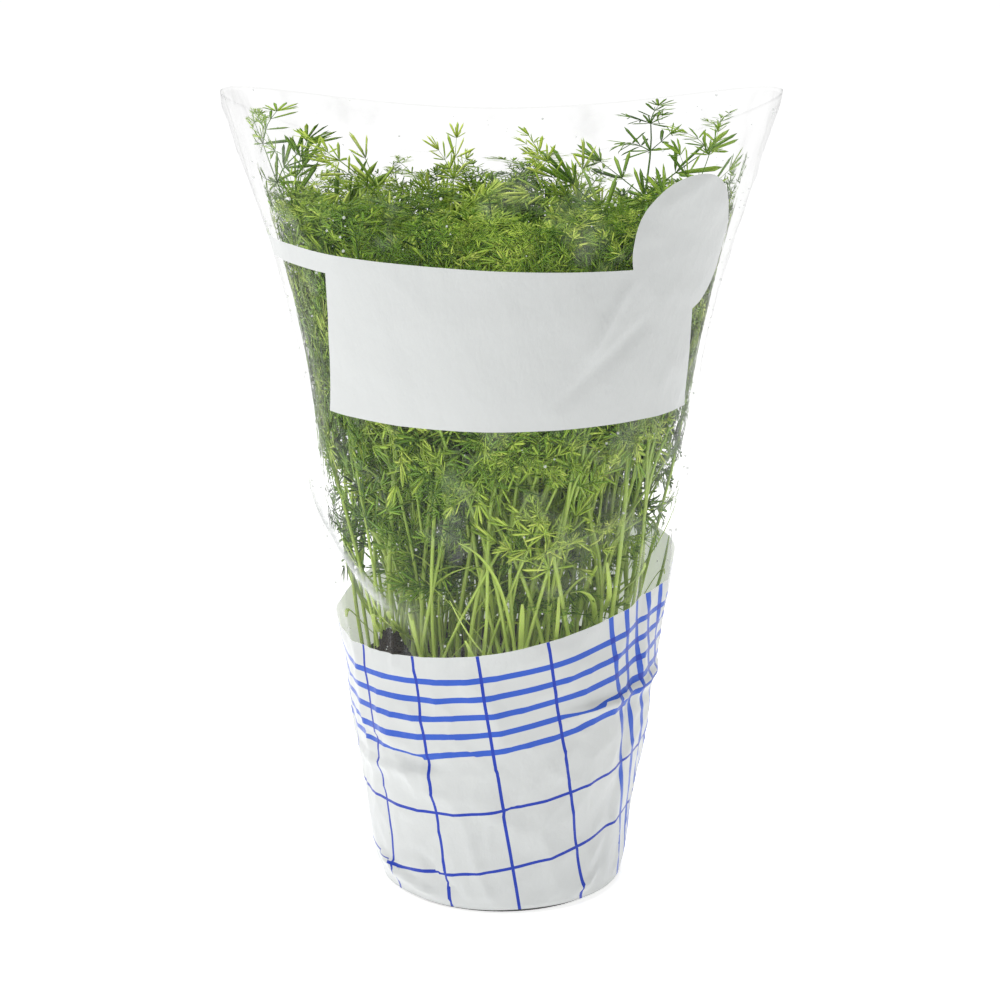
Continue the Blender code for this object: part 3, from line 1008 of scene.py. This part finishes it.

# Folds in the film: from and to (degrees round from the front, height), then how far each stands
# out, half its width, and how far it swallows the print, all in millimetres.
# A fold that stands out far enough also gets a painted highlight along its crest: a white cover that stands
# in for glare on the film.
FOLDS = (
    ((-80, 164), (-37, 124), 2.6, 3.8, 0.5),
    ((-37, 126), (-40, 98), 1.0, 2.4, 0.8),
    ((-92, 200), (-66, 118), 1.3, 6.0, 0.2),
    ((64, 152), (72, 108), 1.8, 4.6, 0.2),
    ((24, 84), (84, 89), 1.9, 3.2, 2.0),
    ((-84, 54), (-24, 59), 1.5, 3.4, 2.2),
    ((-70, 68), (-22, 63), -1.1, 3.0, 1.2),
    ((-70, 15), (-22, 3), 2.2, 3.6, 2.4),
    ((-40, 24), (-18, 8), -0.9, 3.0, 0.8),
    ((22, 222), (32, 250), 1.1, 2.6, 0.4),
    ((14, 206), (40, 236), -0.8, 4.0, 0.5),
    ((54, 150), (57, 96), -1.8, 5.4, 0.1),
    ((57, 100), (52, 14), -1.2, 5.0, 0.1),
    ((30, 1), (50, 14), 1.0, 2.6, 1.2),
    ((6, 48), (28, 72), 0.7, 3.4, 0.3),
    ((-14, 30), (10, 52), -0.6, 4.0, 0.3),
    ((-20, 76), (4, 58), 0.5, 3.2, 0.3),
    ((104, 40), (150, 92), 1.6, 3.2, 1.2),
    ((-160, 30), (-112, 74), 1.5, 3.4, 1.4),
    ((130, 150), (172, 196), 1.4, 3.0, 0.4),
    ((-150, 196), (-116, 146), 1.5, 3.2, 0.4),
    ((-170, 120), (-140, 96), -1.2, 3.4, 1.0),
)


def fold_at(angle, z):
    """How far the folds push the film out, shift its print across and up in millimetres, and how strong the
    painted highlight on their crests is.
    """
    out = across = up = shine = 0.0
    radius = 47.5 + 147 * z
    for (from_angle, from_z), (to_angle, to_z), height, half, swallow in FOLDS:
        run_x = math.radians(to_angle - from_angle) * radius
        run_y = to_z - from_z
        length = math.hypot(run_x, run_y)
        away_x = (angle - math.radians(from_angle)) * radius
        away_y = z * 1000 - from_z
        along = (away_x * run_x + away_y * run_y) / length**2
        aside = (away_x * run_y - away_y * run_x) / length
        if not -0.1 < along < 1.1 or abs(aside) > 8 * half:
            continue
        fade = step((along + 0.1) / 0.3) * step((1.1 - along) / 0.3)
        reach = half if aside > 0 else 0.45 * half
        crest = math.exp(-((aside / reach) ** 2))
        out += height * fade * crest
        # The painted highlight, strongest on the crests of the tallest folds.
        shine += max(0.0, height - PAINTED_GLINT_FROM) * fade * crest**2
        slip = swallow * fade * math.copysign(1, aside) * math.exp(-abs(aside) / (2.2 * half))
        across += slip * run_y / length
        up -= slip * run_x / length
    return out / 1000, across, up, min(1.0, shine / PAINTED_GLINT_FULL)


def film_waves(angle, z):
    """How far the film stands out from its plain cone: slack waves, crumples, and flutes at its mouth."""
    x, y = math.sin(angle), -math.cos(angle)
    radius = CONE_FOOT + CONE_FLARE * z
    p = Vector((x * radius, y * radius, z))
    slack = noise.fractal(p * 22 + Vector((3, 1, 7)), 1.0, 2.0, 3)
    crease = 1 - 2.2 * abs(noise.noise(Vector((p.x * 34, p.y * 34, p.z * 26 + p.x * 12))))
    fine = 1 - 2.2 * abs(noise.noise(Vector((p.x * 90 + 7, p.y * 90, p.z * 60 - p.x * 30))))
    lower = 1 - step((z - 0.095) / 0.03)
    upper = step((z - 0.230) / 0.07)
    flutes = math.sin(angle * 9 + 4 * noise.noise(p * 9))
    label = step((z - 0.190) / 0.01) * (1 - step((z - 0.256) / 0.01))
    smooth = 1 - 0.55 * label
    creased = 0.0010 * crease * abs(crease) * (0.8 + 0.5 * lower) + 0.00045 * fine * abs(fine) * (0.4 + lower)
    return 0.0012 * slack * smooth + creased * smooth + 0.0013 * flutes * upper


def check_place(angle, z):
    """Where a point of the film lies on the blue check's own grid, in millimetres."""
    radius = 47.5 + 147 * z
    across = radius * angle + 147 * z
    up = z * 1000 - CHECK_LIFT * radius * (1 - math.cos(angle + CHECK_TURN))
    return across, up


def label_place(angle, z):
    """Where a point of the film lies on the label's grid, in millimetres."""
    radius = 47.5 + 147 * z
    tilt = 3.2 * math.sin(angle) * step((z - 0.198) / 0.057)
    return radius * angle, z * 1000 + tilt


def film_top(angle):
    """The height of the mouth, which is highest at the side welds."""
    return FRONT_TOP + 0.015 * math.sin(angle) ** 2


places = []
painted_crest_glints = []
check_prints = []
label_prints = []
for i in range(SLEEVE_ROWS + 1):
    for j in range(SLEEVE_COLUMNS + 1):
        angle = math.tau * j / SLEEVE_COLUMNS - math.pi
        foot = SLEEVE_FOOT + 0.0003 * (1 + math.cos(angle)) + 0.0002 * math.sin(5 * angle)
        z = foot + (film_top(angle) - foot) * i / SLEEVE_ROWS
        half_width, half_depth = sleeve_half_sizes(z)
        fold, across, up, shine = fold_at(angle, z)
        out = film_waves(angle, z) + fold
        out *= step(i / 4) * step((SLEEVE_ROWS - i) / 6 + 0.35)
        places.append(((half_width + out) * math.sin(angle), -(half_depth + out) * math.cos(angle), z))
        painted_crest_glints.append(shine)
        x, y = check_place(angle, z)
        check_prints.append(((x + across) / 100, (y + up) / 100))
        x, y = label_place(angle, z)
        label_prints.append(((x + across) / 100, (y + up) / 100))

row = SLEEVE_COLUMNS + 1
corners = []
faces = []
for i in range(SLEEVE_ROWS):
    for j in range(SLEEVE_COLUMNS):
        here = i * row + j
        corners += [here, here + 1, here + row + 1, here + row]
        k = (j + 1) % SLEEVE_COLUMNS
        low = i * SLEEVE_COLUMNS
        high = low + SLEEVE_COLUMNS
        faces.append((low + j, low + k, high + k, high + j))
vertices = [places[i * row + j] for i in range(SLEEVE_ROWS + 1) for j in range(SLEEVE_COLUMNS)]
film_mesh = bpy.data.meshes.new("film_sleeve")
film_mesh.from_pydata(vertices, [], faces)
film_mesh.shade_smooth()
# The top row of the film, where a painted highlight runs along the mouth's edge.
painted_mouth_highlight = [float(i == SLEEVE_ROWS) for i in range(SLEEVE_ROWS + 1) for _ in range(SLEEVE_COLUMNS)]
point_values(film_mesh, "painted_mouth_highlight", painted_mouth_highlight)
painted_crest_glints = [painted_crest_glints[i * row + j] for i in range(SLEEVE_ROWS + 1) for j in range(SLEEVE_COLUMNS)]
point_values(film_mesh, "shine", painted_crest_glints)
for name, prints in (("check", check_prints), ("label", label_prints)):
    film_mesh.uv_layers.new(name=name)
    film_mesh.uv_layers[name].data.foreach_set("uv", np.array([prints[c] for c in corners]).ravel())


def stripes(tree, value, offset, pitch, width, start=None, end=None):
    """Ink where the value is within half a width of a line. The lines repeat at the pitch."""
    near = calc(tree, "WRAP", calc(tree, "SUBTRACT", value, offset), pitch / 2, -pitch / 2)
    ink = calc(tree, "COMPARE", near, 0.0, width / 2)
    if start is not None:
        ink = calc(tree, "MULTIPLY", ink, calc(tree, "GREATER_THAN", value, start))
    if end is not None:
        ink = calc(tree, "MULTIPLY", ink, calc(tree, "LESS_THAN", value, end))
    return ink


def printed_coordinates(tree, name):
    """The two directions of a print, in millimetres, from its UV map."""
    uv = node(tree, "ShaderNodeUVMap", uv_map=name).outputs[0]
    parts = node(tree, "ShaderNodeSeparateXYZ", {0: uv})
    return calc(tree, "MULTIPLY", parts.outputs[0], 100.0), calc(tree, "MULTIPLY", parts.outputs[1], 100.0)


THIN = 1.25
THICK = 2.35
GRID = 26.7
GRID_START = 7.3
BUNCH = 7.8
BUNCH_START = 61.6
REPEAT = 7 * GRID
WHITE_EDGE = 105.0
LINE_LOW = 14.8
LINE_PITCH = 25.4
BAND_FIRST = 65.3
BAND_PITCH = 7.42
BELT = 7.2
BELT_END = -134.0
BADGE_ACROSS = 73.0
BADGE_HEIGHT = 262.0
BADGE_RADIUS = 26.0
WELD = 0.0016
LABEL_LEFT = -101.6
LEFT_SLANT = -0.132
LABEL_RIGHT = 105.6
RIGHT_SLANT = 0.10


def inked(tree):
    """Where there is white ink: the foot of the sleeve, the label, its belt and the badge."""
    _, up = printed_coordinates(tree, "check")
    foot = calc(tree, "LESS_THAN", up, WHITE_EDGE)
    across, up = printed_coordinates(tree, "label")
    inside = calc(tree, "GREATER_THAN", up, LABEL_LOW)
    inside = calc(tree, "MULTIPLY", inside, calc(tree, "LESS_THAN", up, LABEL_HIGH))
    left_edge = calc(tree, "MULTIPLY_ADD", up, LEFT_SLANT, across)
    right_edge = calc(tree, "MULTIPLY_ADD", up, RIGHT_SLANT, across)
    label = calc(tree, "MULTIPLY", inside, calc(tree, "GREATER_THAN", left_edge, LABEL_LEFT))
    label = calc(tree, "MULTIPLY", label, calc(tree, "LESS_THAN", right_edge, LABEL_RIGHT))
    belt = calc(tree, "MULTIPLY", inside, calc(tree, "GREATER_THAN", up, LABEL_HIGH - BELT))
    belt = calc(tree, "MULTIPLY", belt, calc(tree, "LESS_THAN", across, 0.0))
    belt = calc(tree, "MULTIPLY", belt, calc(tree, "GREATER_THAN", across, BELT_END))
    dx = calc(tree, "SUBTRACT", across, BADGE_ACROSS)
    dy = calc(tree, "SUBTRACT", up, BADGE_HEIGHT)
    squares = calc(tree, "ADD", calc(tree, "MULTIPLY", dx, dx), calc(tree, "MULTIPLY", dy, dy))
    badge = calc(tree, "LESS_THAN", calc(tree, "SQRT", squares), BADGE_RADIUS)
    return calc(tree, "MAXIMUM", calc(tree, "MAXIMUM", foot, label), calc(tree, "MAXIMUM", belt, badge))


def colour_mix(tree, factor, first, second):
    """A mix of two colours. Each is a socket or four numbers."""
    made = node(tree, "ShaderNodeMix", {"Factor": factor}, data_type="RGBA")
    for socket, colour in zip([s for s in made.inputs if s.type == "RGBA"], (first, second)):
        if isinstance(colour, bpy.types.NodeSocket):
            tree.links.new(colour, socket)
        else:
            socket.default_value = colour
    return [s for s in made.outputs if s.type == "RGBA"][0]


film_finish = bpy.data.materials.new("printed_film")
film_finish.use_nodes = True
tree = film_finish.node_tree
ink_shader = tree.nodes["Principled BSDF"]
output = tree.nodes["Material Output"]

across, up = printed_coordinates(tree, "check")
turn = calc(tree, "WRAP", across, BUNCH_START - BUNCH / 2 + REPEAT, BUNCH_START - BUNCH / 2)
in_bunch = calc(tree, "LESS_THAN", turn, BUNCH_START + 4.5 * BUNCH)
bunch = calc(tree, "MULTIPLY", stripes(tree, turn, BUNCH_START, BUNCH, THICK), in_bunch)
uprights = stripes(tree, turn, GRID_START, GRID, THIN)
outside = calc(tree, "SUBTRACT", 1.0, in_bunch)
uprights = calc(tree, "MULTIPLY", uprights, outside)
band_limits = (BAND_FIRST - BAND_PITCH / 2, BAND_FIRST + 4.5 * BAND_PITCH)
bands = stripes(tree, up, BAND_FIRST, BAND_PITCH, THICK, *band_limits)
levels = stripes(tree, up, LINE_LOW, LINE_PITCH, THIN, 0.0, LINE_LOW + 1.5 * LINE_PITCH)
thick_ink = calc(tree, "MAXIMUM", bunch, bands)
thin_ink = calc(tree, "MAXIMUM", uprights, levels)
stripe_ink = calc(tree, "MAXIMUM", thick_ink, thin_ink)
blue = calc(tree, "MULTIPLY", stripe_ink, calc(tree, "LESS_THAN", up, WHITE_EDGE))
deep = calc(tree, "MAXIMUM", thin_ink, calc(tree, "MULTIPLY", bunch, bands))

white = inked(tree)
place = node(tree, "ShaderNodeTexCoord").outputs["Object"]
height = node(tree, "ShaderNodeSeparateXYZ", {0: place}).outputs["Z"]
patches = {"Value": surface_noise(tree, 42, 4, 0.6), "From Min": 0.52, "From Max": 0.80, "To Max": 0.22}
mist = node(tree, "ShaderNodeMapRange", patches).outputs[0]
lower_film = {"Value": height, "From Min": 0.220, "From Max": 0.140, "To Max": 0.030}
low_haze = node(tree, "ShaderNodeMapRange", lower_film).outputs[0]
# Painted highlight: a faint white line along the mouth's edge, standing in for light that the cut edge of the
# film catches.
painted_mouth_highlight = node(tree, "ShaderNodeAttribute", attribute_name="painted_mouth_highlight").outputs["Fac"]
painted_mouth_highlight = calc(tree, "MULTIPLY", calc(tree, "GREATER_THAN", painted_mouth_highlight, 0.62), 0.12)
depth = node(tree, "ShaderNodeSeparateXYZ", {0: place}).outputs["Y"]
weld = calc(tree, "MULTIPLY", calc(tree, "COMPARE", depth, 0.0, WELD / 2), 0.22)
# Painted highlight: a white cover along the crests of the tallest folds, standing in for glare on the film.
painted_glint = calc(tree, "MULTIPLY", node(tree, "ShaderNodeAttribute", attribute_name="shine").outputs["Fac"], 0.95)
# The film's milky haze and its weld lines, together with the painted highlights on the mouth's edge and on
# the fold crests.
haze_and_painted_highlights = calc(tree, "MAXIMUM", calc(tree, "ADD", mist, low_haze), calc(tree, "MAXIMUM", painted_mouth_highlight, weld))
haze_and_painted_highlights = calc(tree, "MAXIMUM", haze_and_painted_highlights, painted_glint)
cover = calc(tree, "MAXIMUM", calc(tree, "MULTIPLY", white, 0.97), haze_and_painted_highlights)

white_colour = (0.645, 0.662, 0.656, 1)
light_blue = (0.020, 0.098, 0.560, 1)
deep_blue = (0.0005, 0.034, 0.430, 1)
blue_colour = colour_mix(tree, deep, light_blue, deep_blue)
tree.links.new(colour_mix(tree, blue, white_colour, blue_colour), ink_shader.inputs["Base Color"])
ink_shader.inputs["Roughness"].default_value = 0.28
ink_shader.inputs["Specular IOR Level"].default_value = 0.28

creases = surface_noise(tree, 90, 4, 0.62, (1, 1, 0.55))
bump = node(tree, "ShaderNodeBump", {"Height": creases, "Distance": 0.0016, "Strength": 0.5})
tree.links.new(bump.outputs[0], ink_shader.inputs["Normal"])
clear = node(tree, "ShaderNodeBsdfTransparent")
shine = node(tree, "ShaderNodeBsdfGlossy", {"Roughness": 0.09, "Normal": bump.outputs[0]})
facing = node(tree, "ShaderNodeLayerWeight", {"Blend": 0.5, "Normal": bump.outputs[0]}).outputs["Facing"]
mirror = calc(tree, "MULTIPLY_ADD", calc(tree, "POWER", facing, 5.0), 0.70, 0.012)
film_clear = node(tree, "ShaderNodeMixShader", {0: mirror, 1: clear.outputs[0], 2: shine.outputs[0]})
film_all = node(tree, "ShaderNodeMixShader", {0: cover, 1: film_clear.outputs[0], 2: ink_shader.outputs[0]})
tree.links.new(film_all.outputs[0], output.inputs["Surface"])

# The inside of the white ink. Its colour, lighter than the outside's, and its glow are painted light,
# standing in for light that comes through the thin ink into the shaded inside of the sleeve.
ink_back_with_painted_glow = bpy.data.materials.new("back_of_the_white_ink")
ink_back_with_painted_glow.use_nodes = True
tree = ink_back_with_painted_glow.node_tree
shader = tree.nodes["Principled BSDF"]
shader.inputs["Base Color"].default_value = (0.74, 0.75, 0.73, 1)
shader.inputs["Emission Color"].default_value = (0.96, 1.0, 0.94, 1)
shader.inputs["Emission Strength"].default_value = 0.42
shader.inputs["Roughness"].default_value = 0.6
clear = node(tree, "ShaderNodeBsdfTransparent")
both = node(tree, "ShaderNodeMixShader", {0: inked(tree), 1: clear.outputs[0], 2: shader.outputs[0]})
tree.links.new(both.outputs[0], tree.nodes["Material Output"].inputs["Surface"])

film_raw = in_scene("film_raw", film_mesh)
wet_film = in_scene("wet_film", film_mesh.copy())
wall = film_raw.modifiers.new("wall", "SOLIDIFY")
wall.thickness = FILM
wall.offset = 1.0
wall.material_offset = 1
film_raw.data.materials.append(film_finish)
film_raw.data.materials.append(ink_back_with_painted_glow)
film_mesh = evaluated_mesh(film_raw, "film_sleeve")
sleeve = as_piece("film_sleeve", film_mesh)
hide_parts("sleeve")

# The drops are real, but their half-clear white colour is a painted highlight: clear water drawn white so
# that it shows as bright dots.
water_with_painted_highlight, tree, shader = finish_of("condensation", Base_Color=(0.93, 0.95, 0.95, 1), Roughness=0.06, Alpha=0.45)
droplet = bmesh.new()
bmesh.ops.create_icosphere(droplet, subdivisions=1, radius=0.5)
droplets = shelf("droplets")
droplets.objects.link(bpy.data.objects.new("droplet", mesh_of("droplet", droplet)))
mesh = grown(
    wet_film,
    scatter_crumbs,
    "condensation",
    Crumbs=droplets,
    Density=17000.0,
    Smallest=0.0003,
    Largest=0.0013,
    Least_Upward=-2.0,
    Patchiness=0.9,
    Sunk=0.0004,
    Seed=4,
    Material=water_with_painted_highlight,
)
as_piece("condensation", mesh)


# ---------------------------------------------------------------------------------------------
# Stage: a plain white floor, soft studio light from the upper left, and the camera.
# ---------------------------------------------------------------------------------------------

bpy.ops.mesh.primitive_plane_add(size=24, location=(0, 0, 0))
floor = bpy.context.object
floor.name = "floor"
floor_finish, tree, shader = finish_of("white_floor", Base_Color=(0.92, 0.92, 0.92, 1), Roughness=0.6)
shader.inputs["Emission Color"].default_value = (1, 1, 1, 1)
shader.inputs["Emission Strength"].default_value = 0.69
floor.data.materials.append(floor_finish)

world = bpy.data.worlds.new("studio")
bpy.context.scene.world = world
world.use_nodes = True
tree = world.node_tree
tree.nodes.clear()
seen = node(tree, "ShaderNodeLightPath").outputs["Is Camera Ray"]
backdrop = node(tree, "ShaderNodeBackground", {"Color": (1, 1, 1, 1), "Strength": 1.05})
room = node(tree, "ShaderNodeBackground", {"Color": (1, 1, 1, 1), "Strength": 0.38})
mixed = node(tree, "ShaderNodeMixShader", {0: seen, 1: room.outputs[0], 2: backdrop.outputs[0]})
node(tree, "ShaderNodeOutputWorld", {0: mixed.outputs[0]})


def softbox(name, place, target, width, height, power):
    """A rectangular lamp that points at its target."""
    data = bpy.data.lights.new(name, "AREA")
    data.shape = "RECTANGLE"
    data.size = width
    data.size_y = height
    data.energy = power
    lamp = in_scene(name, data)
    lamp.location = place
    lamp.rotation_euler = (Vector(target) - Vector(place)).to_track_quat("-Z", "Y").to_euler()


softbox("key", (-0.9, -0.6, 1.1), (0, 0, 0.16), 0.6, 0.6, 6.2)
softbox("top", (-0.1, 0.35, 1.3), (0, 0, 0.2), 0.9, 0.9, 9)

camera_data = bpy.data.cameras.new("camera")
camera_data.lens = 86.5
camera_data.sensor_width = 36
camera_data.shift_x = -0.0015
camera = in_scene("camera", camera_data)
camera.location = (0, -0.900, 0.390)
camera.rotation_euler = (math.radians(90 - 14.8), 0, 0)
bpy.context.scene.camera = camera
bpy.context.scene.view_settings.view_transform = "Standard"
bpy.context.scene.cycles.transparent_max_bounces = 32
